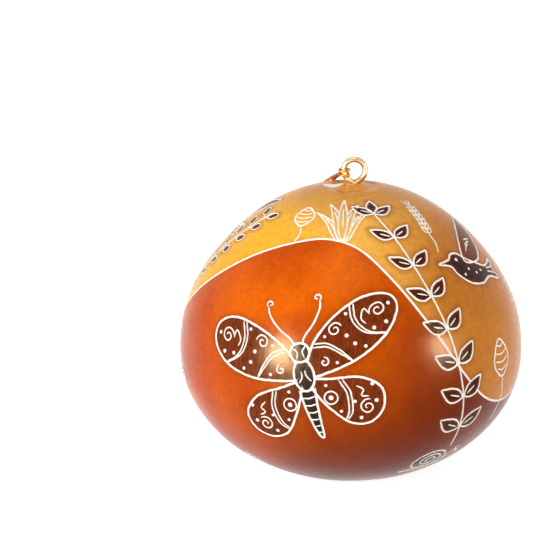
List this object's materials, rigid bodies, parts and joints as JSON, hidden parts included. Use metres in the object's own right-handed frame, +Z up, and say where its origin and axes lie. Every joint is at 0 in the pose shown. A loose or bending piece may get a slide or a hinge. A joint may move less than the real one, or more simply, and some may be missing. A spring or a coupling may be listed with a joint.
{
  "type": "carved gourd ornament",
  "caption": "Round dried gourd with a carved and stained surface, a metal screw eye in its crown and a knotted hanging loop of thread.",
  "frame": {"origin": "centre of the flat foot ring, on the surface that the gourd stands on", "axes": "+Z up through the crown, -Y towards the viewer of the pictured face, the flat of the eye's ring in the XZ plane"},
  "size_m": [0.072, 0.073, 0.0672],
  "materials": {
    "gourd_skin": "stained and carved, satin varnish",
    "eye_metal": "bright plated wire",
    "seed": "dry, matt",
    "thread": "twisted metallic thread"
  },
  "bodies": {
    "gourd": {"gourd_shell": "gourd_skin", "screw_eye": "eye_metal", "dried_seeds": "seed"},
    "loop": {"thread_hitch": "thread", "left_strand": "thread", "right_strand": "thread", "end_knot": "thread", "thread_tails": "thread"}
  },
  "joints": [
    {"name": "loop_swing", "type": "hinge", "parent": "gourd", "child": "loop", "pos_m": [-0.00126, 0, 0.06379], "axis": [0, 0, 1], "range_deg": [0, 140]}
  ]
}
